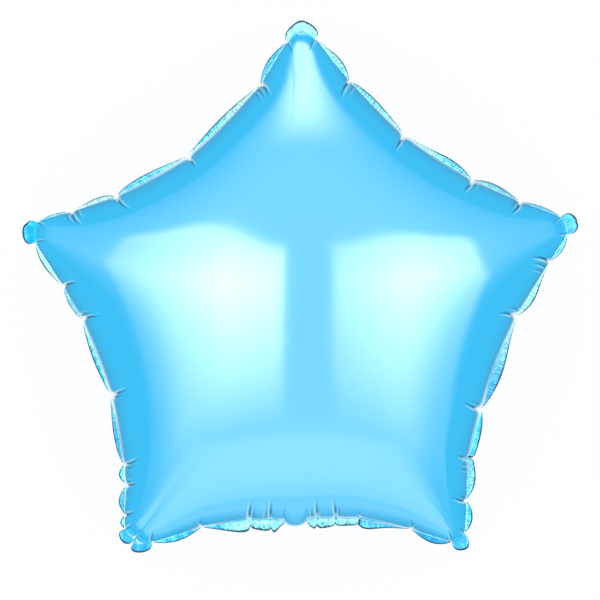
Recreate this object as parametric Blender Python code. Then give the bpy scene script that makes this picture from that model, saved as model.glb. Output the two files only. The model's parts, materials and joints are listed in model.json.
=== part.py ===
# Star-shaped foil balloon, filled and lying on its back.
# Two star-cut films are welded round their edge and blown up into one sealed body.
# Metres, +Z up. The front faces up, the top arm points along +Y, and the origin is on the
# resting plane under the star's centre. Angles run clockwise from the top arm.
import math

import bmesh
import bpy
import numpy as np

# Body
ARMS = 5
ARM_REACH = 0.228            # centre to the point where the two sides of an arm would meet
TIP_SHORTENING = 0.0051      # the rounded end of the filled arm stops this far short of that point
HALF_DEPTH = 0.095           # bulge of each film above the weld
REST_SPOT_DIAMETER = 0.064   # flat patch that the weight presses into the back film

# Welded edge
WELD_THICKNESS = 0.0010      # the two films together, drawn thicker than the real foil
WELD_WIDTH = 0.0064          # strip outside the filled body, at the middle of a run
WELD_WIDTH_AT_PLEAT = 0.0010
WELD_FULLNESS = 0.8          # a run of the strip is lens-shaped
TAB_WIDTH = 0.0108           # the strip is a rounded tab at the end of each arm
TAB_FULLNESS = 0.42
TAB_SPREAD = 4.5             # degrees; a run wholly this near the end of an arm is its tab
WING_WIDTH = 0.0080          # and the strip is gathered into a wing on each side of the neck
WELD_LIFT = 0.0014           # each run of the strip leans up or down by this much in turn

# The filled body's edge, set out from the plain star's line by some units at each arm's end
EDGE_UNIT = 0.001
ARM_END_SETS = (-1.2, -1.1, 0.4, 1.8, -1.2)
# and at each pleat: (angle in degrees, units set out, units that the pleat draws it in)
PLEATS = (
    (2.7, 6.5, 1.2), (12.3, 2.5, 2.2), (30.7, -0.8, 3.2), (52.5, -0.2, 3.0), (63.3, 2.0, 2.2),
    (69.9, 5.5, 1.2), (73.8, 5.0, 1.2), (78.7, 3.0, 2.2), (91.3, -0.8, 3.6), (118.2, -2.8, 3.6),
    (130.7, -5.6, 2.4), (138.4, -2.9, 2.0), (143.3, -1.4, 1.2), (146.6, 5.5, 1.2), (153.0, 0.8, 2.2),
    (164.3, -1.3, 1.6), (170.3, 0.7, 2.0), (175.3, 1.7, 2.0),
    (188.0, 2.6, 2.0), (193.5, 1.1, 2.0), (204.5, 1.1, 2.0), (212.7, 7.0, 1.2), (215.9, 2.5, 2.4),
    (219.0, 10.0, 1.2), (220.9, 8.0, 1.2), (225.2, 2.8, 2.0), (229.3, 2.2, 2.0), (246.3, 0.2, 3.2),
    (267.9, 1.2, 2.8), (276.0, 3.6, 2.0), (284.6, 7.5, 1.2), (288.9, 1.5, 1.2),
    (293.8, -4.1, 1.6), (302.5, -8.1, 2.4), (324.2, -10.3, 2.8), (350.0, -6.8, 2.0), (357.7, 1.2, 1.2),
)
PLEAT_HALF_WIDTH = 0.0026    # the groove opens from its crease to the full film over this
PLEAT_LENGTH = 0.0150        # and dies out this far into the film
PLEAT_FADE = 1.5             # the higher, the more suddenly
SET_SPREAD = 8.0             # degrees; sets wider than this are felt deep in the film
SET_DEPTH = 0.070
SET_EDGE_DEPTH = 0.018       # and narrower ones only near the weld

# Filling neck and its tail, folded behind
NECK_START = 178.0           # degrees, the pleats on either side close the neck
NECK_END = 184.4
NECK_SWELL = 0.0052          # the film runs over the edge here, beyond the line of the weld
NECK_ROUND = 0.5             # the lower, the squarer the swelling
TAIL_LENGTH = 0.060          # from the neck, along the back film
TAIL_GAP = 0.0014            # between the tail and the back film
TAIL_ROOT = 0.0006           # from the weld to where the tail's length is counted from
TAIL_STEPS = 8
TAIL_PROBE = 0.001           # length over which the direction of the back film is taken

# Facets
FILM_RINGS = 8               # between the middle of a film and the weld
RUN_SPACING = 0.0130         # between spokes, away from pleats
RUN_PARTS = 4                # at least, on a short run
PLEAT_SPACING = 0.0016       # between spokes, at a pleat
WELD_SAMPLES = 7200          # points along the weld line from which spokes are read
HALVINGS = 44                # when the weld line is searched for
LEAN_LIMIT = 13.0            # creases leave the weld square to it, but not quite so near a tip
LEAN_FADE = 8.0

FOIL_BLUE = (0.028, 0.52, 0.87, 1.0)
OBJECT_NAME = "star_balloon"

SIDE_PULL = 2.0 / ARMS       # makes the sides of each arm meet in a point at ARM_REACH
MIDDLE_LEVEL = 1.0 - SIDE_PULL
TIP_LEVEL = (ARMS - 2) * (TIP_SHORTENING / ARM_REACH) ** 2
ARM_STEP = 2.0 * math.pi / ARMS


def clear_scene():
    for old in list(bpy.data.objects):
        bpy.data.objects.remove(old, do_unlink=True)


def film_level(share, angle):
    """Square of the filled height, as a share; it is nought along the weld."""
    return MIDDLE_LEVEL - TIP_LEVEL - share ** 2 + SIDE_PULL * share ** ARMS * np.cos(ARMS * angle)


def weld_radius(angle):
    """Distance from the centre to the line where the two films meet, before pleating."""
    low = np.zeros_like(angle)
    high = np.ones_like(angle)
    for _ in range(HALVINGS):
        middle = (low + high) / 2.0
        inside = film_level(middle, angle) > 0.0
        low = np.where(inside, middle, low)
        high = np.where(inside, high, middle)
    return ARM_REACH * low


class Weld:
    """The weld line round the star, by angle and by length along it."""

    def __init__(self):
        self.angle = np.radians(np.linspace(0.0, 360.0, WELD_SAMPLES + 1))
        self.radius = weld_radius(self.angle)
        across = self.radius * np.sin(self.angle)
        along = self.radius * np.cos(self.angle)
        steps = np.hypot(np.diff(across), np.diff(along))
        self.length = np.concatenate(([0.0], np.cumsum(steps)))
        self.slope = np.gradient(self.radius, self.angle)
        self.set_out()
        pinches = [(self.length_at(math.radians(angle)), depth * EDGE_UNIT) for angle, _, depth in PLEATS]
        neck_ends = [(self.length_at(math.radians(angle)), 0.0) for angle in (NECK_START, NECK_END)]
        self.places = sorted(pinches + neck_ends)
        self.starts = [place for place, _ in self.places]

    def set_out(self):
        """Tables of how far the edge is set out: the broad part, and what is left beside it."""
        ends = [(arm * 360.0 / ARMS, ARM_END_SETS[arm % len(ARM_END_SETS)]) for arm in range(ARMS)]
        marks = sorted(ends + [(angle, out) for angle, out, _ in PLEATS])
        at = np.radians([angle for angle, _ in marks])
        out = np.array([out for _, out in marks]) * EDGE_UNIT
        sets = np.interp(self.angle[:-1], at, out, period=2.0 * math.pi)
        turns = np.degrees(self.angle[:-1])
        window = np.exp(-(np.minimum(turns, 360.0 - turns) / SET_SPREAD) ** 2)
        broad = np.real(np.fft.ifft(np.fft.fft(sets) * np.fft.fft(window / window.sum())))
        self.broad = np.append(broad, broad[0])
        self.narrow = np.append(sets, sets[0]) - self.broad

    def whole(self):
        return self.length[-1]

    def at(self, angle):
        """Radius, and its change with angle."""
        return np.interp(angle, self.angle, self.radius), np.interp(angle, self.angle, self.slope)

    def length_at(self, angle):
        return np.interp(angle, self.angle, self.length)

    def angle_at(self, length):
        return np.interp(length % self.whole(), self.length, self.angle)

    def run_at(self, angle):
        """The share of the way along the run between two pleats, and the run's two end angles."""
        length = self.length_at(angle)
        index = np.searchsorted(self.starts, length + 1e-9) - 1
        start = self.starts[index]
        end = self.starts[(index + 1) % len(self.starts)]
        run = (end - start) % self.whole()
        passed = (length - start) % self.whole()
        share = passed / run if passed < run else 0.0
        return share, index, math.degrees(self.angle_at(start)), math.degrees(self.angle_at(end))

    def set_at(self, angle, depth):
        """How far the film is set out at a depth inside the weld."""
        broad = np.interp(angle, self.angle, self.broad) * math.exp(-(depth / SET_DEPTH) ** 2)
        narrow = np.interp(angle, self.angle, self.narrow) * math.exp(-(depth / SET_EDGE_DEPTH) ** 2)
        return broad + narrow

    def drawn_at(self, angle, depth):
        """How far the pleats draw the film in there, less the swelling of the neck."""
        length = self.length_at(angle)
        drawn = 0.0
        for place, amount in self.places:
            apart = abs(length - place)
            apart = min(apart, self.whole() - apart)
            drawn += amount * math.exp(-apart / PLEAT_HALF_WIDTH)
        drawn *= math.exp(-(depth / PLEAT_LENGTH) ** PLEAT_FADE)
        if NECK_START < math.degrees(angle) < NECK_END:
            share = (math.degrees(angle) - NECK_START) / (NECK_END - NECK_START)
            swell = NECK_SWELL * math.sin(math.pi * share) ** NECK_ROUND
            drawn -= swell * math.exp(-(depth / PLEAT_LENGTH) ** 2)
        return drawn


def spoke_angles(weld):
    """Angles of the spokes: close together at each pleat, evenly spread between pleats."""
    lengths = []
    for index, start in enumerate(weld.starts):
        end = weld.starts[(index + 1) % len(weld.starts)]
        run = (end - start) % weld.whole()
        near = min(PLEAT_SPACING, run / 8.0)
        clear = run - 4.0 * near
        parts = max(RUN_PARTS, math.ceil(clear / RUN_SPACING))
        lengths += [start, start + near, start + run - near]
        lengths += [start + 2.0 * near + clear * part / parts for part in range(parts + 1)]
    return np.sort([weld.angle_at(length) for length in lengths])


def film_point(weld, angle, inset, side):
    """A point of the film: inset is 0 at the weld and 1 at the centre, side is 1 in front."""
    radius, slope = weld.at(angle)
    arm = round(angle / ARM_STEP) * ARM_STEP
    off_arm = angle - arm
    lean = min(abs(slope) / radius / max(abs(off_arm), 1e-6), LEAN_LIMIT)
    turned = arm + off_arm * (1.0 - lean * inset * math.exp(-LEAN_FADE * inset))
    distance = radius * (1.0 - inset)
    level = max(0.0, float(film_level(distance / ARM_REACH, turned)))
    height = HALF_DEPTH * math.sqrt(level / (MIDDLE_LEVEL - TIP_LEVEL))
    distance += weld.set_at(angle, inset * radius)
    drawn = weld.drawn_at(angle, inset * radius)
    outward = outward_direction(weld, angle)
    x = distance * math.sin(turned) - drawn * outward[0]
    y = distance * math.cos(turned) - drawn * outward[1]
    return np.array((x, y, side * (height + WELD_THICKNESS / 2.0)))


def outward_direction(weld, angle):
    """Unit vector in the star's plane: square to the weld, but along the arm at an arm's end."""
    radius, slope = weld.at(angle)
    arm = round(angle / ARM_STEP) * ARM_STEP
    off_arm = math.degrees(abs(angle - arm))
    square = min(1.0, max(0.0, (off_arm - TAB_SPREAD / 2.0) / TAB_SPREAD))
    square = square * square * (3.0 - 2.0 * square)
    turn = angle - math.atan2(slope, radius)
    turn = arm + (turn - arm) * square
    return math.sin(turn), math.cos(turn)


def in_neck(angle):
    return NECK_START - 0.01 <= math.degrees(angle) <= NECK_END + 0.01


def strip_width(share, start, end):
    """Width of the welded strip, part of the way along a run from one pleat to the next."""
    step = 360.0 / ARMS
    centre = round(end / step) * step
    if abs(((start - centre) + 180.0) % 360.0 - 180.0) < TAB_SPREAD and abs(end - centre) < TAB_SPREAD:
        return TAB_WIDTH * math.sin(math.pi * share) ** TAB_FULLNESS
    if abs(start - NECK_END) < 0.1 or abs(end - NECK_START) < 0.1:
        return WING_WIDTH * math.sin(math.pi * share) ** WELD_FULLNESS
    return WELD_WIDTH * math.sin(math.pi * share) ** WELD_FULLNESS


def edge_point(weld, angle, side):
    """A point of the cut edge of the welded strip, or of the fold where the neck turns over."""
    share, index, start, end = weld.run_at(angle)
    base = film_point(weld, angle, 0.0, 0.0)
    outward = outward_direction(weld, angle)
    width = WELD_THICKNESS / 2.0
    lift = 0.0
    if not in_neck(angle):
        width = max(WELD_WIDTH_AT_PLEAT, strip_width(share, start, end))
        lift = WELD_LIFT * math.sin(math.pi * share) * (1 if index % 2 else -1)
    x = base[0] + width * outward[0]
    y = base[1] + width * outward[1]
    return np.array((x, y, lift + side * WELD_THICKNESS / 3.0))


def ring_insets():
    """Insets of the rings, from the weld to the middle, closest together at the weld."""
    return [1.0 - math.sin(math.pi / 2.0 * (FILM_RINGS - ring) / FILM_RINGS) for ring in range(FILM_RINGS)]


def section_rows():
    """The rows of the section, from the front's centre over the edge to the rest spot."""
    insets = ring_insets()
    rows = [("front", 1.0)]
    rows += [("front", inset) for inset in reversed(insets)]
    rows += [("edge", 1.0), ("edge", -1.0)]
    rows += [("back", inset) for inset in insets[:-1]]
    rows += [("spot", 0.0)]
    return rows


def section_point(weld, row, angle):
    kind, value = row
    if kind == "front":
        return film_point(weld, angle, value, 1.0)
    if kind == "back":
        return film_point(weld, angle, value, -1.0)
    if kind == "edge":
        return edge_point(weld, angle, value)
    spot = REST_SPOT_DIAMETER / 2.0
    return np.array((spot * math.sin(angle), spot * math.cos(angle), -rest_depth()))


def rest_depth():
    """How far below the weld the back film is flattened by the surface it lies on."""
    share = REST_SPOT_DIAMETER / 2.0 / ARM_REACH
    level = (MIDDLE_LEVEL - TIP_LEVEL - share ** 2) / (MIDDLE_LEVEL - TIP_LEVEL)
    return HALF_DEPTH * math.sqrt(level) + WELD_THICKNESS / 2.0


def spin_section(rows, spokes):
    """A plain section spun round the centre, whose points know their row and their spoke."""
    mesh = bmesh.new()
    row_of = mesh.verts.layers.int.new("row")
    spoke_of = mesh.verts.layers.int.new("spoke")
    section = []
    for index in range(len(rows)):
        radius = 0.0 if index == 0 else ARM_REACH
        point = mesh.verts.new((radius, 0.0, -index * WELD_THICKNESS))
        point[row_of] = index
        section.append(point)
    lines = [mesh.edges.new(pair) for pair in zip(section, section[1:])]
    bmesh.ops.spin(mesh, geom=section + lines, cent=(0.0, 0.0, 0.0), axis=(0.0, 0.0, 1.0),
                   angle=2.0 * math.pi, steps=spokes, use_merge=True)
    for point in mesh.verts:
        turn = math.atan2(point.co.y, point.co.x) % (2.0 * math.pi)
        point[spoke_of] = round(turn / (2.0 * math.pi) * spokes) % spokes
    bmesh.ops.remove_doubles(mesh, verts=mesh.verts, dist=1e-6)
    return mesh, row_of, spoke_of


def tail_point(weld, angle, run, skin):
    """A point of the tail, which follows the back film at a steady gap."""
    radius, _ = weld.at(angle)
    here = film_point(weld, angle, run / radius, -1.0)
    there = film_point(weld, angle, (run + TAIL_PROBE) / radius, -1.0)
    along = (there - here) / np.linalg.norm(there - here)
    outward = np.array((*outward_direction(weld, angle), 0.0))
    square = outward - along * np.dot(outward, along)
    square /= np.linalg.norm(square)
    return here + square * (TAIL_GAP + skin * WELD_THICKNESS)


def add_tail(mesh, row_of, spoke_of, weld, angles, rows):
    """Draws the edge of the neck out into the flat tail, folded down behind the back film."""
    upper = rows.index(("edge", 1.0))
    lower = rows.index(("edge", -1.0))
    faces = []
    for face in mesh.faces:
        found = {point[row_of] for point in face.verts}
        if found == {upper, lower} and all(in_neck(angles[point[spoke_of]]) for point in face.verts):
            faces.append(face)
    depths = tail_depths(weld)
    for depth in depths:
        grown = bmesh.ops.extrude_face_region(mesh, geom=faces)["geom"]
        bmesh.ops.delete(mesh, geom=faces, context="FACES_ONLY")
        faces = [item for item in grown if isinstance(item, bmesh.types.BMFace)]
        for point in (item for item in grown if isinstance(item, bmesh.types.BMVert)):
            skin = 1.0 if point[row_of] == upper else 0.0
            point.co = tail_point(weld, angles[point[spoke_of]], depth, skin)


def tail_depths(weld):
    """Insets of the tail's steps, so that they are evenly spaced along the back film."""
    angle = math.radians((NECK_START + NECK_END) / 2.0)
    radius, _ = weld.at(angle)
    insets = np.arange(TAIL_ROOT, TAIL_LENGTH, TAIL_PROBE / 4.0)
    points = [film_point(weld, angle, inset / radius, -1.0) for inset in insets]
    lengths = np.concatenate(([0.0], np.cumsum(np.linalg.norm(np.diff(points, axis=0), axis=1))))
    wanted = np.linspace(lengths[0] + TAIL_LENGTH / TAIL_STEPS / 2.0, TAIL_LENGTH, TAIL_STEPS)
    return np.interp(wanted, lengths, insets)


def foil_material():
    material = bpy.data.materials.new("blue foil")
    material.use_nodes = True
    shader = material.node_tree.nodes["Principled BSDF"]
    shader.inputs["Base Color"].default_value = FOIL_BLUE
    shader.inputs["Metallic"].default_value = 0.6
    shader.inputs["Roughness"].default_value = 0.2
    material.diffuse_color = FOIL_BLUE
    return material


def build_balloon(collection):
    weld = Weld()
    angles = spoke_angles(weld)
    rows = section_rows()
    mesh, row_of, spoke_of = spin_section(rows, len(angles))
    for point in mesh.verts:
        point.co = section_point(weld, rows[point[row_of]], angles[point[spoke_of]])
    add_tail(mesh, row_of, spoke_of, weld, angles, rows)
    bmesh.ops.holes_fill(mesh, edges=[edge for edge in mesh.edges if edge.is_boundary], sides=0)
    bmesh.ops.recalc_face_normals(mesh, faces=mesh.faces)
    bmesh.ops.translate(mesh, vec=(0.0, 0.0, rest_depth()), verts=mesh.verts)
    data = bpy.data.meshes.new(OBJECT_NAME)
    mesh.to_mesh(data)
    mesh.free()
    data.shade_smooth()
    data.set_sharp_from_angle(angle=math.radians(50.0))
    balloon = bpy.data.objects.new(OBJECT_NAME, data)
    balloon.data.materials.append(foil_material())
    collection.objects.link(balloon)
    return balloon


clear_scene()
star_collection = bpy.data.collections.new("star foil balloon")
bpy.context.scene.collection.children.link(star_collection)
build_balloon(star_collection)
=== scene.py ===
# Star foil balloon: lacquered metallised film, welded round the edge and filled.
# It lies on its back, front up, top arm along +Y. Angles run clockwise from the top arm.
import json
import math

import bmesh
import bpy
import numpy as np
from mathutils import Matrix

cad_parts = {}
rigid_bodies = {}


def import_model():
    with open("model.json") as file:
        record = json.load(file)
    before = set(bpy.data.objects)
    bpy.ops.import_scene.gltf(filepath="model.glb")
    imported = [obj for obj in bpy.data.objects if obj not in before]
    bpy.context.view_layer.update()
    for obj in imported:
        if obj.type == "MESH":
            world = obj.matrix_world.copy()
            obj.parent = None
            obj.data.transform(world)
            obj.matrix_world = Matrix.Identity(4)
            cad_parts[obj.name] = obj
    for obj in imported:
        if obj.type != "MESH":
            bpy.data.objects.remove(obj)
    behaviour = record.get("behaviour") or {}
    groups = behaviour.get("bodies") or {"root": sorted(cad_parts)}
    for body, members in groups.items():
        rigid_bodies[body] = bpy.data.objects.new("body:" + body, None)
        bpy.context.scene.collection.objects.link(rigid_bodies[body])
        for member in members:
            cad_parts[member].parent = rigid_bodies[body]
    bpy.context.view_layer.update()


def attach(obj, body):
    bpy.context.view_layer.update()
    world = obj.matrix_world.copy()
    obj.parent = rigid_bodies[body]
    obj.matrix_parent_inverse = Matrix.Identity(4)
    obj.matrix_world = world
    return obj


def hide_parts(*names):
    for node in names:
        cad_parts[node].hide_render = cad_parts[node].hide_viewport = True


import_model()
print("frame loaded")


# hex colour as written in a paint program, to the linear one that shaders read
def hexToLinear(code):
    parts = [int(code[i:i + 2], 16) / 255.0 for i in (1, 3, 5)]
    linear = [p / 12.92 if p <= 0.04045 else ((p + 0.055) / 1.055) ** 2.4 for p in parts]
    return (*linear, 1.0)


# one node with its settings; an input is a number, a colour, a socket, or a node to be linked from
def addNode(tree, kind, settings=None, inputs=None):
    made = tree.nodes.new(kind)
    for name, value in (settings or {}).items():
        setattr(made, name, value)
    for name, value in (inputs or {}).items():
        if isinstance(value, bpy.types.Node):
            value = next(out for out in value.outputs if not out.is_unavailable)
        if isinstance(value, bpy.types.NodeSocket):
            tree.links.new(value, made.inputs[name])
        else:
            made.inputs[name].default_value = value
    return made


# 0 up to start, 1 from end, smooth between
def easeStep(value, start, end):
    share = np.clip((value - start) / (end - start), 0.0, 1.0)
    return share * share * (3.0 - 2.0 * share)


# The star's form. It follows the solid's, but sets fade sooner into the film, a few pleats are
# moved, set or sunk otherwise, and the arms' ends run out a little lower.

star = {
    "arms": 5,
    "armReach": 0.228,        # where the sides of an arm would meet
    "tipShort": 0.0051,       # the filled arm ends this far before that
    "halfDepth": 0.095,       # bulge of one film
    "restSpot": 0.064,        # flattened patch on the back
    "spotDrop": 0.0005,       # half the weld's gap and a little more, so that the patch lies lowest
    "weldHalf": 0.0004,       # half the gap between the films at the weld
    "setSpread": 8.0,         # degrees
    "setDepth": 0.060,        # broad sets fade over this into the film
    "setEdgeDepth": 0.010,    # narrow ones sooner
    "leanLimit": 13.0,        # creases leave the weld square to it
    "leanFade": 8.0,
    "neck": (178.0, 184.4),   # degrees
    "neckSwell": 0.0052,
    "neckReach": 0.006,
    "neckRound": 0.4,         # below 1, so the swelling is full almost up to its sides
    "wedge": 0.003,           # an arm closes to a wedge over this
    "armEndFade": 0.110,      # and over this runs out lower
    "tabSpread": 4.5,         # degrees
}
armEndSets = (1.6, 0.4, 0.4, 1.8, -0.8)   # mm that each arm's end is set out
armEndLow = np.array([0.30, 0.14, 0.06, 0.06, 0.14])   # share of the height it loses

# angle in degrees, set in mm, depth of the pleat in mm, length of its crease in mm,
# then the crease's neighbours as (mm along the weld, share of the depth)
pleats = (
    (3.3, 7.0, 1.2, 6, ()), (12.3, 2.5, 2.2, 13, ((5.0, 0.2),)),
    (30.7, -0.8, 3.2, 15, ()), (52.5, -0.2, 3.0, 13, ((4.0, 0.15),)),
    (63.3, 2.0, 2.2, 11, ((-3.5, 0.3),)), (69.9, 5.5, 1.2, 6, ()),
    (73.8, 5.0, 1.2, 5, ()), (78.7, 3.0, 2.2, 12, ((5.0, 0.4), (9.5, 0.25))),
    (91.3, -0.8, 3.6, 15, ((-5.0, 0.2),)), (118.2, -2.8, 3.6, 17, ((-4.0, 0.2),)),
    (130.7, -5.6, 2.4, 11, ((5.0, 0.25), (9.0, 0.2))), (138.4, -2.9, 2.0, 10, ((-3.0, 0.3),)),
    (143.3, -1.4, 1.2, 6, ()), (146.6, 5.5, 1.2, 6, ()), (153.0, 0.8, 1.0, 5, ()),
    (164.3, -1.3, 1.0, 6, ()), (170.3, 0.7, 2.0, 17, ((-3.0, 0.35),)),
    (175.3, 1.7, 2.0, 16, ((4.0, 0.25),)),
    (188.0, 2.6, 2.0, 17, ((3.5, 0.3),)), (193.5, 1.1, 2.0, 17, ((-3.5, 0.3),)),
    (204.5, 1.1, 1.0, 5, ()), (212.7, 7.0, 1.2, 6, ()), (215.9, 6.0, 2.4, 6, ()),
    (219.0, 10.0, 1.2, 4, ()), (220.9, 8.0, 1.2, 5, ()), (225.2, 2.8, 1.6, 7, ((3.0, 0.3),)),
    (229.3, 2.2, 1.8, 12, ((-3.0, 0.4),)), (246.3, 0.2, 3.2, 15, ((-2.5, 0.35),)),
    (267.9, 1.2, 2.8, 14, ((3.5, 0.3),)), (276.0, 3.6, 2.0, 10, ()),
    (284.6, 7.5, 1.2, 6, ()), (288.9, 1.5, 1.2, 6, ()),
    (293.8, -4.1, 1.6, 12, ((-4.0, 0.3), (4.5, 0.3))), (302.5, -8.1, 2.4, 18, ()),
    (324.2, -10.3, 2.8, 15, ()), (350.0, -6.8, 2.0, 14, ((-4.5, 0.5), (-8.5, 0.35))),
    (357.2, 2.2, 1.2, 6, ()),
)
pleatForm = {
    "notchWidth": 0.0017,     # the edge turns in over this, on each side of a pleat
    "notchReach": 0.0060,     # and only this far into the film
    "creaseWidth": 0.0008,    # half of the crease that runs on from it
    "creaseDeep": 0.24,       # its depth, as a share of the notch's
    "lipDeep": 0.5,           # the film stands up beside it, as a share of its depth
    "lipOff": 1.9,            # this many crease widths away
    "neighbourReach": 0.75,   # length of a neighbouring crease, as a share of the first one's
    "sunkIn": 0.8,            # share of a crease's depth that draws the film inwards
    "sunkDown": 0.6,          # and share that lowers it
    "fullCreasePaint": 1.6,          # mm of notch at which a crease's painted shade and lip highlight are full
}

armStep = 2.0 * math.pi / star["arms"]
pull = 2.0 / star["arms"]
tipLevel = (star["arms"] - 2) * (star["tipShort"] / star["armReach"]) ** 2
fullLevel = 1.0 - pull - tipLevel


# square of the filled height, as a share of the middle's
def filmLevel(share, angle):
    level = fullLevel - share ** 2 + pull * share ** star["arms"] * np.cos(star["arms"] * angle)
    return np.clip(level, 0.0, None) / fullLevel


# where the two films meet on the plain star
def weldRadius(angle):
    inner, outer = np.zeros_like(angle), np.ones_like(angle)
    for _ in range(44):
        middle = (inner + outer) / 2.0
        filled = filmLevel(middle, angle) > 0.0
        inner, outer = np.where(filled, middle, inner), np.where(filled, outer, middle)
    return star["armReach"] * inner


weld = {"angle": np.radians(np.linspace(0.0, 360.0, 14401))}
weld["radius"] = weldRadius(weld["angle"])
weld["slope"] = np.gradient(weld["radius"], weld["angle"])
weldSteps = np.hypot(np.diff(weld["radius"] * np.sin(weld["angle"])),
                     np.diff(weld["radius"] * np.cos(weld["angle"])))
weld["length"] = np.concatenate(([0.0], np.cumsum(weldSteps)))
wholeWeld = weld["length"][-1]


def readWeld(what, angle):
    return np.interp(angle, weld["angle"], weld[what])


def angleAt(length):
    return np.interp(np.asarray(length) % wholeWeld, weld["length"], weld["angle"])


# how far the edge is set out all round: the broad part, and what is left beside it
def setOutEdge():
    marks = [(arm * 360.0 / star["arms"], armEndSets[arm]) for arm in range(star["arms"])]
    marks = sorted(marks + [(pleat[0], pleat[1]) for pleat in pleats])
    at = np.radians([angle for angle, _ in marks])
    out = np.array([out for _, out in marks]) / 1000.0
    sets = np.interp(weld["angle"][:-1], at, out, period=2.0 * math.pi)
    turns = np.degrees(weld["angle"][:-1])
    window = np.exp(-(np.minimum(turns, 360.0 - turns) / star["setSpread"]) ** 2)
    broad = np.real(np.fft.ifft(np.fft.fft(sets) * np.fft.fft(window / window.sum())))
    weld["broad"] = np.append(broad, broad[0])
    weld["narrow"] = np.append(sets, sets[0]) - weld["broad"]


setOutEdge()

# what ends a run of the welded strip, in metres along the weld: the pleats and the neck's two sides
runEnds = sorted(float(readWeld("length", math.radians(angle)))
                 for angle in [pleat[0] for pleat in pleats] + list(star["neck"]))


# distance along the weld from a place to a length, the short way round, with its sign
def alongGap(length, place):
    return (length - place + wholeWeld / 2.0) % wholeWeld - wholeWeld / 2.0


# unit vectors square to the weld, but along the arm at an arm's end
def outwardWays(angle):
    radius, slope = readWeld("radius", angle), readWeld("slope", angle)
    arm = np.round(angle / armStep) * armStep
    square = easeStep(np.degrees(np.abs(angle - arm)), 0.0, star["tabSpread"])
    turn = arm + (angle - np.arctan2(slope, radius) - arm) * square
    return np.sin(turn), np.cos(turn)


# how far pleats draw the film in and sink it, at lengths along the weld and depths inside it,
# and how much painted shade (above 0, in a crease) and painted highlight (below 0, on the lip beside it)
# they put on its colour
def pleatDraw(length, depth):
    drawn = np.zeros(np.broadcast(length, depth).shape)
    sunk, shadeAndHighlight = np.zeros_like(drawn), np.zeros_like(drawn)
    for angle, _, deep, creaseLength, neighbours in pleats:
        place = float(readWeld("length", math.radians(angle)))
        gap = np.abs(alongGap(length, place))
        reached = np.exp(-(depth / pleatForm["notchReach"]) ** 2)
        drawn = drawn + deep / 1000.0 * (np.exp(-gap / pleatForm["notchWidth"]) * reached)
        creases = [(0.0, 1.0, 1.0)]
        creases += [(off / 1000.0, share, pleatForm["neighbourReach"]) for off, share in neighbours]
        for off, share, reach in creases:
            across = alongGap(length, place + off) / pleatForm["creaseWidth"]
            lip = pleatForm["lipDeep"] * np.exp(-(across - pleatForm["lipOff"]) ** 2)
            faded = np.exp(-(depth / (creaseLength / 1000.0 * reach)) ** 4)
            groove = (np.exp(-across ** 2) - lip) * faded * share ** 0.5
            sunk = sunk + deep / 1000.0 * pleatForm["creaseDeep"] * groove
            shadeAndHighlight = shadeAndHighlight + min(1.0, deep / pleatForm["fullCreasePaint"]) * groove
    return drawn, sunk, shadeAndHighlight


# how far the filling neck swells out past the weld
def neckBulge(angle, depth):
    start, end = np.radians(star["neck"])
    share = np.clip((angle - start) / (end - start), 0.0, 1.0)
    across = np.sin(math.pi * share) ** star["neckRound"]
    return star["neckSwell"] * across * np.exp(-depth / star["neckReach"])


# points of a film for each inset (0 at the weld, 1 at the centre) and each spoke
def filmGrid(angles, insets, side):
    angle, inset = angles[None, :], insets[:, None]
    radius, slope = readWeld("radius", angle), readWeld("slope", angle)
    depth = inset * radius
    arm = np.round(angle / armStep) * armStep
    offArm = angle - arm
    lean = np.minimum(np.abs(slope) / radius / np.maximum(np.abs(offArm), 1e-6), star["leanLimit"])
    turned = arm + offArm * (1.0 - lean * inset * np.exp(-star["leanFade"] * inset))
    distance = radius * (1.0 - inset)
    height = star["halfDepth"] * np.sqrt(filmLevel(distance / star["armReach"], turned))
    for part, fade in (("broad", "setDepth"), ("narrow", "setEdgeDepth")):
        distance = distance + readWeld(part, angle) * np.exp(-depth / star[fade]) * (1.0 - inset)
    end = np.clip(readWeld("radius", arm) - distance * np.cos(turned - arm), 0.0, None)
    height = height * np.sqrt(1.0 - np.exp(-end / star["wedge"]))
    low = armEndLow[np.round(angle / armStep).astype(int) % star["arms"]]
    height = height * (1.0 - low * np.clip(1.0 - end / star["armEndFade"], 0.0, None) ** 3)
    drawn, sunk, _ = pleatDraw(readWeld("length", angle), depth)
    drawn = drawn + pleatForm["sunkIn"] * sunk - neckBulge(angle, depth)
    outX, outY = outwardWays(angle)
    x = distance * np.sin(turned) - drawn * outX
    y = distance * np.cos(turned) - drawn * outY
    # near the weld a crease goes down to half the film's height at most
    lowered = np.minimum(pleatForm["sunkDown"] * sunk, height * 0.5)
    z = side * (height + star["weldHalf"] - lowered)
    return np.stack([x, y, np.broadcast_to(z, x.shape)], axis=-1)


spotShare = star["restSpot"] / 2.0 / star["armReach"]
midHeight = star["halfDepth"] * math.sqrt(float(filmLevel(spotShare, 0.0))) + star["spotDrop"]


# a sheet of quads laid on rows and spokes of points, and joined up where it comes round;
# each layer is an attribute with a value for every point
def wrapSheet(grid, layers, closed=True):
    rows, spokes = grid.shape[:2]
    mesh = bmesh.new()
    bmesh.ops.create_grid(mesh, x_segments=spokes, y_segments=rows if closed else rows - 1, size=1.0)
    mesh.verts.index_update()
    made = [(mesh.verts.layers.float.new(name), values) for name, values in layers.items()]
    for point in mesh.verts:
        row, spoke = divmod(point.index, spokes + 1)
        point.co = grid[row % rows, spoke % spokes]
        for layer, values in made:
            point[layer] = values[row % rows, spoke % spokes]
    bmesh.ops.remove_doubles(mesh, verts=mesh.verts, dist=1e-6)
    return mesh


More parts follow.
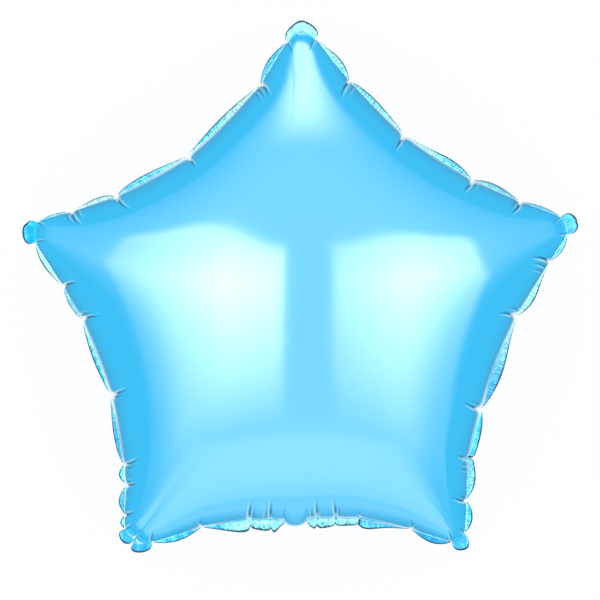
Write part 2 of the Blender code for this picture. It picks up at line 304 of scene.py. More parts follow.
def finishPiece(mesh, name, material):
    bmesh.ops.recalc_face_normals(mesh, faces=mesh.faces)
    data = bpy.data.meshes.new(name)
    mesh.to_mesh(data)
    mesh.free()
    data.shade_smooth()
    data.materials.append(material)
    piece = bpy.data.objects.new(name, data)
    bpy.context.scene.collection.objects.link(piece)
    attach(piece, "root")
    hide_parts("star_balloon")


# Materials

# Metallised polyester film under clear blue lacquer. The bright layer just under the polished
# skin mirrors lights in white, far more than plain lacquer would, which the high IOR stands for;
# what it doesn't mirror comes back in the lacquer's own blue.
filmFinish = {
    "colour": "#27c5ff",
    "creaseShadeColour": "#07639a",  # painted shade in a crease
    "creaseShadeSpan": (0.05, 1.0),   # from a faint crease to a full one
    "lipHighlightColour": "#bff2ff",     # and a painted highlight on the lip beside it
    "lipHighlightSpan": (-0.5, -0.03),
    "metallic": 0.03,
    "roughness": 0.13,
    "ior": 2.42,
    "skinRoughness": 0.03,
    "slackMm": 55.0,          # film is never quite even between its welds
    "slackDeepMm": 0.05,
}

# The same film where hot jaws have pressed two layers together: the lacquer is denser there, and
# the crackled face throws glints. Some runs get a painted pale sheen; there is painted shade along the
# cut and where a pleat pinches the strip, and a painted highlight along the seam
stripFinish = {
    "colour": "#06a8ee",
    # painted sheen of the pale runs
    "sheenColour": "#8fe0ea",
    # painted shade along the cut, and where a pleat pinches the strip
    "cutShadeColour": "#0a4668",
    "cutShares": (0.72, 0.92),   # of the way from the weld to the cut
    "seamHighlightColour": "#e2f7ff",   # a painted highlight along the seam
    "seamMm": 0.35,
    "seamBlur": (0.7, 1.3),
    "metallic": 0.70,
    "roughness": 0.24,
    "skin": 0.25,
    "skinRoughness": 0.06,
    "crackleMm": 6.0,
    "crackleDeepMm": 0.6,
}


def makeFilm():
    material = bpy.data.materials.new("lacqueredMetallisedFilm")
    material.use_nodes = True
    tree = material.node_tree
    shader = tree.nodes["Principled BSDF"]
    shader.inputs["Metallic"].default_value = filmFinish["metallic"]
    shader.inputs["Roughness"].default_value = filmFinish["roughness"]
    shader.inputs["IOR"].default_value = filmFinish["ior"]
    shader.inputs["Coat Weight"].default_value = 1.0
    shader.inputs["Coat Roughness"].default_value = filmFinish["skinRoughness"]
    # painted shade in the creases and a painted highlight on their lips, laid on the lacquer's colour
    crease = addNode(tree, "ShaderNodeAttribute", {"attribute_name": "crease"})
    inCrease = addNode(tree, "ShaderNodeMapRange", {}, {
        "Value": crease.outputs["Fac"], "From Min": filmFinish["creaseShadeSpan"][0],
        "From Max": filmFinish["creaseShadeSpan"][1], "To Min": 0.0, "To Max": 1.0})
    onLip = addNode(tree, "ShaderNodeMapRange", {}, {
        "Value": crease.outputs["Fac"], "From Min": filmFinish["lipHighlightSpan"][0],
        "From Max": filmFinish["lipHighlightSpan"][1], "To Min": 1.0, "To Max": 0.0})
    tint = addNode(tree, "ShaderNodeMix", {"data_type": "RGBA"}, {
        "Factor": inCrease, "A": hexToLinear(filmFinish["colour"]),
        "B": hexToLinear(filmFinish["creaseShadeColour"])})
    tint = addNode(tree, "ShaderNodeMix", {"data_type": "RGBA"}, {
        "Factor": onLip, "A": tint, "B": hexToLinear(filmFinish["lipHighlightColour"])})
    tree.links.new(tint.outputs["Result"], shader.inputs["Base Color"])
    coords = addNode(tree, "ShaderNodeTexCoord")
    slack = addNode(tree, "ShaderNodeTexNoise", {}, {
        "Vector": coords.outputs["Object"], "Scale": 1000.0 / filmFinish["slackMm"],
        "Detail": 1.0, "Roughness": 0.4})
    bump = addNode(tree, "ShaderNodeBump", {}, {
        "Height": slack, "Distance": filmFinish["slackDeepMm"] / 1000.0, "Strength": 1.0})
    tree.links.new(bump.outputs["Normal"], shader.inputs["Normal"])
    tree.links.new(bump.outputs["Normal"], shader.inputs["Coat Normal"])
    return material


def makeStrip():
    material = bpy.data.materials.new("heatSealedFilmEdge")
    material.use_nodes = True
    tree = material.node_tree
    shader = tree.nodes["Principled BSDF"]
    shader.inputs["Metallic"].default_value = stripFinish["metallic"]
    shader.inputs["Roughness"].default_value = stripFinish["roughness"]
    shader.inputs["Coat Weight"].default_value = stripFinish["skin"]
    shader.inputs["Coat Roughness"].default_value = stripFinish["skinRoughness"]
    coords = addNode(tree, "ShaderNodeTexCoord")
    crackle = addNode(tree, "ShaderNodeTexNoise", {}, {
        "Vector": coords.outputs["Object"], "Scale": 1000.0 / stripFinish["crackleMm"],
        "Detail": 1.0, "Roughness": 0.5, "Distortion": 0.9})
    rough = addNode(tree, "ShaderNodeAttribute", {"attribute_name": "crackled"})
    bump = addNode(tree, "ShaderNodeBump", {}, {
        "Height": crackle, "Distance": stripFinish["crackleDeepMm"] / 1000.0,
        "Strength": rough.outputs["Fac"]})
    # painted sheen of the pale runs, mixed into the lacquer's colour
    paintedSheen = addNode(tree, "ShaderNodeAttribute", {"attribute_name": "paintedSheen"})
    lacquer = addNode(tree, "ShaderNodeMix", {"data_type": "RGBA"}, {
        "Factor": paintedSheen.outputs["Fac"], "A": hexToLinear(stripFinish["colour"]),
        "B": hexToLinear(stripFinish["sheenColour"])})
    # painted shade along the cut and where a pleat pinches the strip
    share = addNode(tree, "ShaderNodeAttribute", {"attribute_name": "toCut"})
    cut = addNode(tree, "ShaderNodeMapRange", {"interpolation_type": "SMOOTHSTEP"}, {
        "Value": share.outputs["Fac"], "From Min": stripFinish["cutShares"][0],
        "From Max": stripFinish["cutShares"][1], "To Min": 0.0, "To Max": 1.0})
    # painted highlight along the seam
    fromWeld = addNode(tree, "ShaderNodeAttribute", {"attribute_name": "fromWeld"})
    seam = addNode(tree, "ShaderNodeMapRange", {"interpolation_type": "SMOOTHSTEP"}, {
        "Value": fromWeld.outputs["Fac"], "From Min": stripFinish["seamMm"] * stripFinish["seamBlur"][0],
        "From Max": stripFinish["seamMm"] * stripFinish["seamBlur"][1], "To Min": 1.0, "To Max": 0.0})
    tint = addNode(tree, "ShaderNodeMix", {"data_type": "RGBA"}, {
        "Factor": cut, "A": lacquer, "B": hexToLinear(stripFinish["cutShadeColour"])})
    tint = addNode(tree, "ShaderNodeMix", {"data_type": "RGBA"}, {
        "Factor": seam, "A": tint, "B": hexToLinear(stripFinish["seamHighlightColour"])})
    tree.links.new(tint.outputs["Result"], shader.inputs["Base Color"])
    tree.links.new(bump.outputs["Normal"], shader.inputs["Normal"])
    return material


film = makeFilm()
strip = makeStrip()
print("materials made")


# Spokes crowd at each of the places and spread evenly between. A run shorter than 2.6 times the
# last of the near steps has them closer together.
def spokeAngles(places, nearSteps, spacing):
    lengths, roomForSteps = [], 2.6
    for index, start in enumerate(places):
        run = (places[(index + 1) % len(places)] - start) % wholeWeld
        scale = min(1.0, run * 1000.0 / roomForSteps / nearSteps[-1])
        near = [step * scale / 1000.0 for step in nearSteps]
        lengths += [start] + [start + n for n in near] + [start + run - n for n in near]
        clear = run - 2.0 * near[-1]
        parts = math.ceil(clear * 1000.0 / spacing)
        lengths += [start + near[-1] + clear * part / parts for part in range(1, parts)]
    return np.sort(angleAt(lengths))


# The filled body

body = {
    "frontRings": 40,
    "backRings": 25,
    "spotRings": 3,            # back rings that the flattened patch takes the place of
    "nearSteps": (0.3, 0.6, 0.95, 1.35, 1.85, 2.5, 3.4),   # mm from each crease
    "spacing": 1.5,                                        # mm elsewhere
}


def buildBody():
    beside = [readWeld("length", math.radians(pleat[0])) + off / 1000.0
              for pleat in pleats for off, _ in pleat[4]]
    places = sorted(set(runEnds) | {float(place) % wholeWeld for place in beside})
    angles = spokeAngles(places, body["nearSteps"], body["spacing"])
    front, back = body["frontRings"], body["backRings"]
    # in even turns of the section, so rings crowd at the weld
    frontInsets = 1.0 - np.sin(math.pi / 2.0 * np.arange(1, front + 1) / front)
    backInsets = 1.0 - np.sin(math.pi / 2.0 * np.arange(back, body["spotRings"], -1) / back)
    grid = np.concatenate([filmGrid(angles, frontInsets, 1.0), filmGrid(angles, backInsets, -1.0)])
    spot = star["restSpot"] / 2.0
    spotHeight = np.full_like(angles, -midHeight)
    ring = np.stack([spot * np.sin(angles), spot * np.cos(angles), spotHeight], axis=-1)
    grid = np.concatenate([grid, ring[None]])
    grid[..., 2] += midHeight
    lengths = readWeld("length", angles)[None, :]
    radii = readWeld("radius", angles)[None, :]
    depths = [insets[:, None] * radii for insets in (frontInsets, backInsets)]
    # painted shade in the creases and painted highlight on their lips, for the film's colour
    marks = [pleatDraw(lengths, depth)[2] for depth in depths] + [np.zeros((1, len(angles)))]
    mesh = wrapSheet(grid, {"crease": np.concatenate(marks)}, closed=False)
    # the middle of the front is a fan up to the crown, the flattened patch behind one face
    bmesh.ops.holes_fill(mesh, edges=[edge for edge in mesh.edges if edge.is_boundary], sides=0)
    cap = [face for face in mesh.faces
           if len(face.verts) > 4 and face.calc_center_median().z > midHeight]
    for point in bmesh.ops.poke(mesh, faces=cap, center_mode="MEAN")["verts"]:
        point.co = (0.0, 0.0, midHeight + star["halfDepth"] + star["weldHalf"])
    print("body:", len(angles), "spokes,", len(grid), "rings")
    finishPiece(mesh, "foilBody", film)


buildBody()
print("body made")


# The welded strip outside the body

edge = {
    "thickness": 0.00035,
    "tuck": 0.0006,            # the strip starts this far inside the weld
    "pinched": 0.35,           # mm left at a pleat
    "fullness": 1.1,
    "tabWidths": (8.6, 9.8, 8.4, 7.4, 9.4),   # mm, for each arm
    "tabFullness": 0.28,
    "rings": 9,                # across the strip
    "nearSteps": (0.3, 0.7, 1.2, 1.8),   # mm from each pleat
    "spacing": 0.42,           # mm
    "rippleMm": 3.2,           # film that was sealed hot stays rippled square to the edge
    "rippleDeep": 0.00024,
    "gathered": 1.5,           # rippled more than this, it is gathered into wider folds
    "gatherWiden": 2.3,
    "aslant": 0.5,             # radians of a ripple for each mm across the strip
    "waveMm": 9.0,
    "waveDeep": 0.00045,
    "waveDrift": (1.4, 21.0),  # as for the ripples
    "waveLeast": 0.3,
    "fullWidth": 0.004,        # narrower than this, it ripples less
    "curl": 0.0005,            # the cut edge turns down
    "cutThin": 0.5,            # and thins to this share
    "sheenChange": (0.25, 0.75),   # shares of a run between which its painted sheen changes
    "deepRun": 0.35,           # a run with less painted sheen than this gets painted shade where the pleat pinches it
    "pinchShade": (1.3, 4.0),     # how much painted shade at the pleat, and in how many mm it lessens by 1
    "noSeamMm": 9.0,           # tabs and the neck get no painted seam highlight: they count as this far from it
    "sameAngle": 0.05,         # degrees
}
# ripples that run over each other: size, length as a share of rippleMm, how much they drift and over
# how many mm, which way they slant, and how much they turn across the strip
ripples = (
    (1.0, 1.0, 1.7, 5.3, 1.0, 0.0),
    (0.7, 0.81, 2.3, 8.1, -1.0, 0.0),
    (0.5, 1.63, 0.0, 1.0, 0.0, 4.0),
)
# what is left of the strip where a pleat doesn't pinch it: angle and mm
openPleats = {
    130.7: 4.0, 164.3: 5.2, 170.3: 5.6, 175.3: 7.0,
    178.0: 2.6, 184.4: 2.6, 188.0: 8.0, 193.5: 6.4,
}
# each run from the first pleat on: widest in mm, at which share of the run, how much painted sheen at
# its start and at its end, how strongly rippled, and its lean in mm at the cut edge
stripRuns = (
    (5.0, 0.60, 0.9, 0.6, 0.9, 0.8), (4.4, 0.40, 0.4, 0.7, 0.7, -0.8), (5.0, 0.65, 0.9, 0.3, 1.0, 0.4),
    (4.4, 0.45, 0.8, 0.6, 0.2, -1.4), (2.2, 0.50, 0.7, 0.7, 0.1, 0.8), (0.0, 0.50, 0.25, 0.25, 0.1, -0.6),
    (3.6, 0.50, 0.6, 0.7, 0.3, 1.0), (5.2, 0.65, 0.8, 0.9, 0.7, -1.3), (6.6, 0.60, 0.95, 0.2, 1.0, 0.6),
    (5.0, 0.45, 0.0, 0.1, 0.2, -1.5), (6.0, 0.55, 0.6, 0.7, 0.6, 1.4), (5.3, 0.50, 0.0, 0.3, 0.4, -1.0),
    (0.0, 0.50, 0.2, 0.2, 0.1, 0.6), (5.6, 0.45, 0.1, 0.0, 0.1, -1.2), (5.4, 0.80, 0.0, 0.3, 0.2, 0.3),
    (5.4, 0.50, 0.8, 0.9, 2.6, -0.4), (6.6, 0.60, 0.9, 0.9, 2.6, 0.4), (6.6, 0.40, 0.9, 0.8, 0.4, -0.6),
    (0.0, 0.50, 0.5, 0.5, 0.0, 0.0), (8.0, 0.70, 0.8, 0.9, 0.4, -0.6), (7.4, 0.30, 0.9, 0.8, 2.6, 0.4),
    (6.6, 0.25, 0.9, 0.0, 0.7, -0.3), (4.8, 0.50, 0.0, 0.1, 0.1, 0.9), (0.0, 0.50, 0.1, 0.1, 0.1, -0.8),
    (0.0, 0.50, 0.1, 0.1, 0.1, 0.9), (3.4, 0.50, 0.1, 0.2, 0.2, -0.6), (5.0, 0.50, 0.2, 0.4, 0.4, 1.1),
    (4.6, 0.50, 0.5, 0.1, 0.4, -1.0), (3.9, 0.40, 0.1, 0.4, 0.5, 0.9), (3.9, 0.50, 0.0, 0.4, 0.6, -1.2),
    (2.8, 0.50, 0.5, 0.6, 0.3, 0.8), (4.2, 0.55, 0.9, 0.7, 0.4, -0.9), (0.0, 0.50, 0.0, 0.0, 0.1, 0.4),
    (1.7, 0.50, 0.9, 0.9, 0.2, 0.7), (3.6, 0.60, 1.0, 1.0, 0.6, -0.9), (4.6, 0.40, 0.3, 0.6, 0.6, 1.0),
    (4.6, 0.50, 0.1, 1.0, 0.9, -0.9), (4.6, 0.45, 0.3, 0.1, 0.2, 1.1), (0.0, 0.50, 0.8, 0.8, 1.0, 0.4),
)


# for each spoke: share along its run, the run's number and its two end angles
def runsAt(angles):
    length, starts = readWeld("length", angles), np.array(runEnds)
    index = (np.searchsorted(starts, length + 1e-7) - 1) % len(starts)
    start, end = starts[index], starts[(index + 1) % len(starts)]
    share = ((length - start) % wholeWeld) / ((end - start) % wholeWeld)
    share = np.where(share > 0.9999, 0.0, share)
    return share, index, np.degrees(angleAt(start)), np.degrees(angleAt(end))


# what a pleat leaves of the strip, in mm
def leftAt(angle):
    left = np.full_like(angle, edge["pinched"])
    for place, width in openPleats.items():
        left = np.where(np.abs(angle - place) < edge["sameAngle"], width, left)
    return left


# widths of the strip, in metres, how full it is at each place of its run, and where no painted seam
# highlight shows: at the tabs and at the neck, whose film has no strip outside it
def stripWidths(share, widest, peak, startAngle, endAngle):
    step = 360.0 / star["arms"]
    arch = np.clip(np.sin(math.pi * share ** (math.log(0.5) / np.log(peak))), 0.0, 1.0)
    centre = np.round(endAngle / step) * step
    startOff = np.abs((startAngle - centre + 180.0) % 360.0 - 180.0)
    isTab = (startOff < star["tabSpread"]) & (np.abs(endAngle - centre) < star["tabSpread"])
    start, end = leftAt(startAngle), leftAt(endAngle)
    plain = start + (end - start) * share
    width = plain + np.clip(widest - (start + end) / 2.0, 0.0, None) * arch ** edge["fullness"]
    tabWidth = np.array(edge["tabWidths"])[(centre / step).astype(int) % star["arms"]]
    width = np.where(isTab, np.maximum(tabWidth * arch ** edge["tabFullness"], plain), width)
    isNeck = np.abs(startAngle - star["neck"][0]) < edge["sameAngle"]
    return np.where(isNeck, 0.0, width) / 1000.0, arch, isTab | isNeck


def buildStrip():
    angles = spokeAngles(runEnds, edge["nearSteps"], edge["spacing"])
    share, index, startAngle, endAngle = runsAt(angles)
    widest, peak, sheenStart, sheenEnd, rippled, leans = np.array(stripRuns)[index].T
    width, arch, noSeam = stripWidths(share, widest, peak, startAngle, endAngle)
    # painted sheen along each run
    paintedSheen = sheenStart + (sheenEnd - sheenStart) * easeStep(share, *edge["sheenChange"])
    base = filmGrid(angles, np.array([0.0]), 0.0)[0]
    outX, outY = outwardWays(angles)
    full = np.clip(width / edge["fullWidth"], 0.0, 1.0)
    length = readWeld("length", angles) * 1000.0
    turn = 2.0 * math.pi * length / np.where(rippled > edge["gathered"], edge["gatherWiden"], 1.0)
    run = (endAngle - startAngle) % 360.0 / 360.0 * wholeWeld * 1000.0
    # painted shade where a pleat pinches a run with little painted sheen
    dark, darkMm = edge["pinchShade"]
    pinchShade = np.clip(dark - np.minimum(share, 1.0 - share) * run / darkMm, 0.0, 1.0)
    pinchShade = np.where((paintedSheen < edge["deepRun"]) & ~noSeam, pinchShade, 0.0)
    waveDrift, waveDriftMm = edge["waveDrift"]
    wave = np.sin(turn / edge["waveMm"] + waveDrift * np.sin(length / waveDriftMm))
    waved = edge["waveDeep"] * wave * full
    rows, toCut, fromWeld = [], [], []
    for side in (1.0, -1.0):
        for t in np.linspace(0.0, 1.0, edge["rings"])[::int(side)]:
            out = -edge["tuck"] * (1.0 - t) + width * t
            slant = edge["aslant"] * width * 1000.0 * t
            ripple = 0.0
            for size, widen, drift, driftMm, lean, across in ripples:
                phase = turn / (edge["rippleMm"] * widen) + drift * np.sin(length / driftMm)
                ripple = ripple + size * np.sin(phase + lean * slant + across * t)
            z = leans / 1000.0 * arch * t ** 1.2
            z = z + edge["rippleDeep"] * rippled * full * ripple * t ** 0.6
            z = z + waved * t * np.clip(rippled + edge["waveLeast"], 0.0, 1.0)
            z = z - edge["curl"] * full * t ** 8
            z = z + side * edge["thickness"] / 2.0 * (1.0 if t < 0.999 else edge["cutThin"])
            x, y = base[:, 0] + out * outX, base[:, 1] + out * outY
            rows.append(np.stack([x, y, z + midHeight], axis=-1))
            # share of the way to the cut, for its painted shade, and more where a pinched pleat gets
            # painted shade
            toCut.append(np.maximum(t, pinchShade))
            fromWeld.append(np.where(noSeam, edge["noSeamMm"], out * 1000.0))
    grid = np.stack(rows)
    mesh = wrapSheet(grid, {
        "toCut": np.stack(toCut), "fromWeld": np.stack(fromWeld),
        "paintedSheen": np.broadcast_to(paintedSheen, grid.shape[:2]),
        "crackled": np.broadcast_to(np.clip(rippled, 0.0, 1.0), grid.shape[:2])})
    print("strip:", len(angles), "spokes,", len(grid), "rings")
    finishPiece(mesh, "weldedStrip", strip)


buildStrip()
print("strip made")


# The filling tail, folded behind

tail = {
    "length": 0.060,
    "gap": 0.0014,
    "rootInset": 0.0030,       # it starts this far inside the weld
    "rootFade": 0.012,         # and stands off the back film from here on
    "thickness": 0.0008,
    "sideInset": 0.004,        # radians from the neck's sides
    "samples": 400,            # along the back film, to measure lengths by
    "sampleStep": 0.001,
    "columns": 12,
    "rows": 26,
}


def buildTail():
    start, end = np.radians(star["neck"])
    angles = np.linspace(start + tail["sideInset"], end - tail["sideInset"], tail["columns"])
    radius = readWeld("radius", angles)
    insets = np.linspace(tail["rootInset"], tail["length"], tail["samples"])
    middle = filmGrid(np.array([(start + end) / 2.0]), insets / radius.mean(), -1.0)[:, 0]
    lengths = np.concatenate(([0.0], np.cumsum(np.linalg.norm(np.diff(middle, axis=0), axis=1))))
    depths = np.interp(np.linspace(0.0, tail["length"], tail["rows"]), lengths, insets)
    here = filmGrid(angles, depths / radius.mean(), -1.0)
    along = filmGrid(angles, (depths + tail["sampleStep"]) / radius.mean(), -1.0) - here
    along /= np.linalg.norm(along, axis=-1, keepdims=True)
    outX, outY = outwardWays(angles)
    outward = np.stack([outX, outY, np.zeros_like(outX)], axis=-1)[None]
    square = outward - along * np.sum(outward * along, axis=-1, keepdims=True)
    square /= np.linalg.norm(square, axis=-1, keepdims=True)
    off = tail["gap"] * easeStep(depths, 0.0, tail["rootFade"]) + tail["thickness"]
    sheet = here + square * off[:, None, None]
    sheet[..., 2] += midHeight
    mesh = bmesh.new()
    bmesh.ops.create_grid(mesh, x_segments=tail["columns"] - 1, y_segments=tail["rows"] - 1, size=1.0)
    for point in mesh.verts:
        column = round((point.co.x + 1.0) / 2.0 * (tail["columns"] - 1))
        row = round((point.co.y + 1.0) / 2.0 * (tail["rows"] - 1))
        point.co = sheet[row, column]
    bmesh.ops.recalc_face_normals(mesh, faces=mesh.faces)
    bmesh.ops.solidify(mesh, geom=mesh.faces[:], thickness=tail["thickness"])
    finishPiece(mesh, "fillingTail", film)


buildTail()
print("tail made")


# Floor, light and camera

studio = {
    "floorHalf": 3.0,
    "floorColour": "#f4f6f7",
    "floorWhite": 0.92,        # share of plain white, so that the shadow on it stays faint
    "cardRadius": (0.198, 0.254),   # white card under the balloon, then darker table
    "cardDown": 0.012,              # its middle lies this far below the star's
    "tableLevel": (0.60, 0.10),   # lit below the star, dark elsewhere
    "tableFrom": (-0.50, -0.15),  # metres up the star: lit below the first, dark above the second
    "tableSlant": 1.3,            # and the light ends sooner out to the sides
    "cameraHeight": 2.4,
    "pictureWidth": 0.480,     # metres across the picture at the weld
    "sensor": 36.0,
    "aimY": 0.0096,            # the picture's middle lies this far above the star's centre
}


# white for the camera; mirrored in the film it is a white card on a dark table
def buildFloor():
    mesh = bmesh.new()
    bmesh.ops.create_grid(mesh, x_segments=1, y_segments=1, size=studio["floorHalf"])
    data = bpy.data.meshes.new("floor")
    mesh.to_mesh(data)
    mesh.free()
    floor = bpy.data.objects.new("floor", data)
    bpy.context.scene.collection.objects.link(floor)
    material = bpy.data.materials.new("whitePaper")
    material.use_nodes = True
    tree = material.node_tree
    tree.nodes.clear()
    path = addNode(tree, "ShaderNodeLightPath")
    coords = addNode(tree, "ShaderNodeTexCoord")
    axes = addNode(tree, "ShaderNodeSeparateXYZ", {}, {0: coords.outputs["Object"]})
    aside = addNode(tree, "ShaderNodeMath", {"operation": "ABSOLUTE"}, {0: axes.outputs["X"]})
    below = addNode(tree, "ShaderNodeMath", {"operation": "MULTIPLY_ADD"}, {
        0: aside, 1: studio["tableSlant"], 2: axes.outputs["Y"]})
    table = addNode(tree, "ShaderNodeMapRange", {"interpolation_type": "SMOOTHSTEP"}, {
        "Value": below, "From Min": studio["tableFrom"][0], "From Max": studio["tableFrom"][1],
        "To Min": studio["tableLevel"][0], "To Max": studio["tableLevel"][1]})
    far = addNode(tree, "ShaderNodeVectorMath", {"operation": "DISTANCE"}, {
        0: coords.outputs["Object"], 1: (0.0, -studio["cardDown"], 0.0)})
    card = addNode(tree, "ShaderNodeMapRange", {"interpolation_type": "SMOOTHSTEP"}, {
        "Value": far.outputs["Value"], "From Min": studio["cardRadius"][0],
        "From Max": studio["cardRadius"][1], "To Min": 1.0, "To Max": table})
    level = addNode(tree, "ShaderNodeMix", {"data_type": "FLOAT"}, {
        "Factor": path.outputs["Is Glossy Ray"], "A": 1.0, "B": card})
    matt = addNode(tree, "ShaderNodeBsdfDiffuse", {}, {"Color": hexToLinear(studio["floorColour"])})
    plain = addNode(tree, "ShaderNodeEmission", {}, {"Color": (1, 1, 1, 1), "Strength": level})
    share = addNode(tree, "ShaderNodeMath", {"operation": "MULTIPLY_ADD"}, {
        0: path.outputs["Is Camera Ray"], 1: studio["floorWhite"] - 1.0, 2: 1.0})
    both = addNode(tree, "ShaderNodeMixShader", {}, {0: share, 1: matt, 2: plain})
    addNode(tree, "ShaderNodeOutputMaterial", {}, {"Surface": both})
    data.materials.append(material)


# Soft boxes as the film mirrors them. Places are parts of the mirrored ray's unit direction: out to
# the side, or up the star. Each box is brightest at its heart and fades downwards; its top edge
# rises outwards (top: out, up, out, up) and drops again at the corner (out, out, by how much).
softBoxes = {
    "left": {"side": -1.0, "inner": (0.070, 0.100), "outer": (0.885, 0.925), "heart": 0.38,
             "atInner": 0.78, "atOuter": 0.13, "top": (0.09, 0.335, 0.60, 0.59),
             "corner": (0.70, 0.97, 0.50), "level": 3.9},
    "right": {"side": 1.0, "inner": (0.150, 0.190), "outer": (0.900, 0.940), "heart": 0.56,
              "atInner": 0.45, "atOuter": 0.42, "top": (0.17, 0.36, 0.60, 0.485),
              "corner": (0.72, 0.95, 0.48), "level": 3.4},
}
boxFades = {
    "topEdge": (-0.03, 0.05),               # how soft the top edge is
    "upper": (0.16, 0.42, 0.62),            # between these, up the star, it falls to this
    "lower": (-0.60, 0.14),
}
# pairs here are bounds on the same unit direction, from where to where each fades
sky = {
    "wall": (-0.10, 0.80, 0.27, 0.88),      # from and to, grey at eye level, white overhead
    "overhead": (0.0, 0.08),                # boxes and lamp show only in rays that go up
    "sideDim": 0.78,                        # and darker still to the left and right
    "sideFrom": (0.62, 0.90),
    "lowFrom": (-0.25, 0.25),               # below the middle only
    "frontGlow": 0.37,                      # light from the front, below the star
    "frontFrom": (-0.98, -0.40),
    "frontWide": (0.40, 0.75),
    "tableGlow": 0.21,                      # with the table's edge across it
    "tableEdge": (-0.97, -0.93),            # up the star, for each unit of height
    "leastHeight": 0.05,
    "lampLevel": 2.4,                       # small lamp past the top arm
    "lampMiddle": 0.03,
    "lampWide": (0.05, 0.75),
    "lampFrom": (0.78, 0.98),
    "matt": (2.00, 1.04),                   # plain light that the colour itself is seen by
    "mattTo": 0.6,                          # it falls from the first to the second up to here
}


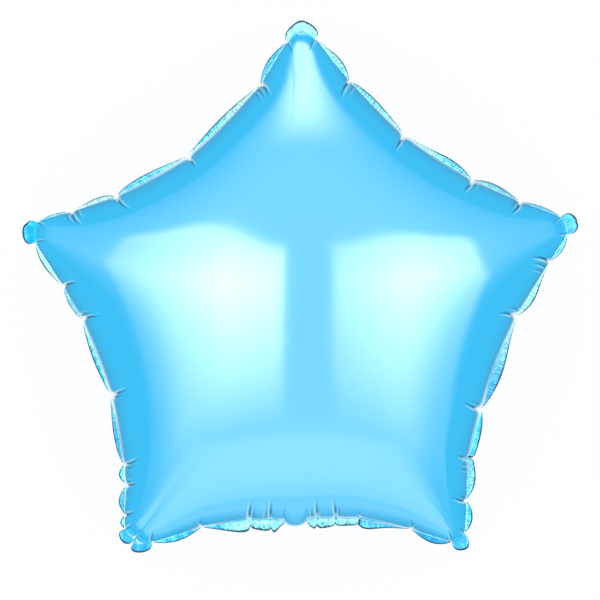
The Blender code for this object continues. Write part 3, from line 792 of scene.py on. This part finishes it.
def buildSky():
    world = bpy.data.worlds.new("whiteStudio")
    bpy.context.scene.world = world
    world.use_nodes = True
    world.cycles.sampling_method = "NONE"
    tree = world.node_tree
    tree.nodes.clear()
    soft = {"interpolation_type": "SMOOTHSTEP"}
    coords = addNode(tree, "ShaderNodeTexCoord")
    axes = addNode(tree, "ShaderNodeSeparateXYZ", {}, {0: coords.outputs["Generated"]})
    x, y, z = axes.outputs["X"], axes.outputs["Y"], axes.outputs["Z"]
    aside = addNode(tree, "ShaderNodeMath", {"operation": "ABSOLUTE"}, {0: x})
    overhead = addNode(tree, "ShaderNodeMapRange", soft, {
        "Value": z, "From Min": sky["overhead"][0], "From Max": sky["overhead"][1],
        "To Min": 0.0, "To Max": 1.0})

    # walls
    lowWall, highWall, dark, bright = sky["wall"]
    wall = addNode(tree, "ShaderNodeMapRange", soft, {
        "Value": z, "From Min": lowWall, "From Max": highWall, "To Min": dark, "To Max": bright})
    farAside = addNode(tree, "ShaderNodeMapRange", soft, {
        "Value": aside, "From Min": sky["sideFrom"][0], "From Max": sky["sideFrom"][1],
        "To Min": 0.0, "To Max": sky["sideDim"]})
    lowDown = addNode(tree, "ShaderNodeMapRange", soft, {
        "Value": y, "From Min": sky["lowFrom"][0], "From Max": sky["lowFrom"][1],
        "To Min": 1.0, "To Max": 0.0})
    dim = addNode(tree, "ShaderNodeMath", {"operation": "MULTIPLY"}, {0: farAside, 1: lowDown})
    keep = addNode(tree, "ShaderNodeMath", {"operation": "SUBTRACT"}, {0: 1.0, 1: dim})
    total = addNode(tree, "ShaderNodeMath", {"operation": "MULTIPLY"}, {0: wall, 1: keep})

    # light from the front, with the straight line of a table's edge across it
    front = addNode(tree, "ShaderNodeMapRange", soft, {
        "Value": y, "From Min": sky["frontFrom"][0], "From Max": sky["frontFrom"][1],
        "To Min": sky["frontGlow"], "To Max": 0.0})
    frontWide = addNode(tree, "ShaderNodeMapRange", soft, {
        "Value": aside, "From Min": sky["frontWide"][0], "From Max": sky["frontWide"][1],
        "To Min": 1.0, "To Max": 0.0})
    total = addNode(tree, "ShaderNodeMath", {"operation": "MULTIPLY_ADD"}, {
        0: front, 1: frontWide, 2: total})
    steep = addNode(tree, "ShaderNodeMath", {"operation": "MAXIMUM"}, {
        0: z, 1: sky["leastHeight"]})
    across = addNode(tree, "ShaderNodeMath", {"operation": "DIVIDE"}, {0: y, 1: steep})
    table = addNode(tree, "ShaderNodeMapRange", soft, {
        "Value": across, "From Min": sky["tableEdge"][0], "From Max": sky["tableEdge"][1],
        "To Min": sky["tableGlow"], "To Max": 0.0})
    total = addNode(tree, "ShaderNodeMath", {"operation": "MULTIPLY_ADD"}, {
        0: table, 1: frontWide, 2: total})

    # soft boxes
    for box in softBoxes.values():
        out = addNode(tree, "ShaderNodeMath", {"operation": "MULTIPLY"}, {0: x, 1: box["side"]})
        inner = addNode(tree, "ShaderNodeMapRange", soft, {
            "Value": out, "From Min": box["inner"][0], "From Max": box["inner"][1],
            "To Min": 0.0, "To Max": 1.0})
        outer = addNode(tree, "ShaderNodeMapRange", soft, {
            "Value": out, "From Min": box["outer"][0], "From Max": box["outer"][1],
            "To Min": 1.0, "To Max": 0.0})
        rise = addNode(tree, "ShaderNodeMapRange", {}, {
            "Value": out, "From Min": box["inner"][1], "From Max": box["heart"],
            "To Min": box["atInner"], "To Max": 1.0})
        fall = addNode(tree, "ShaderNodeMapRange", {}, {
            "Value": out, "From Min": box["heart"], "From Max": box["outer"][1],
            "To Min": 1.0, "To Max": box["atOuter"]})
        topInner, topLow, topOuter, topHigh = box["top"]
        top = addNode(tree, "ShaderNodeMapRange", soft, {
            "Value": out, "From Min": topInner, "From Max": topOuter,
            "To Min": topLow, "To Max": topHigh})
        corner = addNode(tree, "ShaderNodeMapRange", soft, {
            "Value": out, "From Min": box["corner"][0], "From Max": box["corner"][1],
            "To Min": 0.0, "To Max": box["corner"][2]})
        under = addNode(tree, "ShaderNodeMath", {"operation": "SUBTRACT"}, {0: top, 1: y})
        under = addNode(tree, "ShaderNodeMath", {"operation": "SUBTRACT"}, {0: under, 1: corner})
        below = addNode(tree, "ShaderNodeMapRange", soft, {
            "Value": under, "From Min": boxFades["topEdge"][0], "From Max": boxFades["topEdge"][1],
            "To Min": 0.0, "To Max": 1.0})
        upper = addNode(tree, "ShaderNodeMapRange", {}, {
            "Value": y, "From Min": boxFades["upper"][0], "From Max": boxFades["upper"][1],
            "To Min": 1.0, "To Max": boxFades["upper"][2]})
        lower = addNode(tree, "ShaderNodeMapRange", {}, {
            "Value": y, "From Min": boxFades["lower"][0], "From Max": boxFades["lower"][1],
            "To Min": 0.0, "To Max": 1.0})
        light = inner
        for part in (outer, rise, fall, below, upper, lower, overhead):
            light = addNode(tree, "ShaderNodeMath", {"operation": "MULTIPLY"}, {0: light, 1: part})
        total = addNode(tree, "ShaderNodeMath", {"operation": "MULTIPLY_ADD"}, {
            0: light, 1: box["level"], 2: total})

    # the lamp past the top arm
    middle = addNode(tree, "ShaderNodeMath", {"operation": "SUBTRACT"}, {
        0: x, 1: sky["lampMiddle"]})
    offMiddle = addNode(tree, "ShaderNodeMath", {"operation": "ABSOLUTE"}, {0: middle})
    narrow = addNode(tree, "ShaderNodeMapRange", soft, {
        "Value": offMiddle, "From Min": sky["lampWide"][0], "From Max": sky["lampWide"][1],
        "To Min": sky["lampLevel"], "To Max": 0.0})
    beyond = addNode(tree, "ShaderNodeMapRange", soft, {
        "Value": y, "From Min": sky["lampFrom"][0], "From Max": sky["lampFrom"][1],
        "To Min": 0.0, "To Max": 1.0})
    lamp = addNode(tree, "ShaderNodeMath", {"operation": "MULTIPLY"}, {0: narrow, 1: beyond})
    total = addNode(tree, "ShaderNodeMath", {"operation": "MULTIPLY_ADD"}, {
        0: lamp, 1: overhead, 2: total})

    path = addNode(tree, "ShaderNodeLightPath")
    matt = addNode(tree, "ShaderNodeMapRange", soft, {
        "Value": z, "From Min": 0.0, "From Max": sky["mattTo"],
        "To Min": sky["matt"][0], "To Max": sky["matt"][1]})
    lit = addNode(tree, "ShaderNodeMix", {"data_type": "FLOAT"}, {
        "Factor": path.outputs["Is Glossy Ray"], "A": matt, "B": total})
    seen = addNode(tree, "ShaderNodeMix", {"data_type": "FLOAT"}, {
        "Factor": path.outputs["Is Camera Ray"], "A": lit, "B": 1.0})
    light = addNode(tree, "ShaderNodeBackground", {}, {"Color": (1, 1, 1, 1), "Strength": seen})
    addNode(tree, "ShaderNodeOutputWorld", {}, {"Surface": light})


def buildCamera():
    data = bpy.data.cameras.new("camera")
    data.sensor_width = studio["sensor"]
    data.lens = studio["sensor"] * studio["cameraHeight"] / studio["pictureWidth"]
    data.clip_end = 50.0
    camera = bpy.data.objects.new("camera", data)
    camera.location = (0.0, studio["aimY"], midHeight + studio["cameraHeight"])
    bpy.context.scene.collection.objects.link(camera)
    bpy.context.scene.camera = camera


buildFloor()
buildSky()
buildCamera()
bpy.context.scene.view_settings.view_transform = "Standard"
print("studio made")
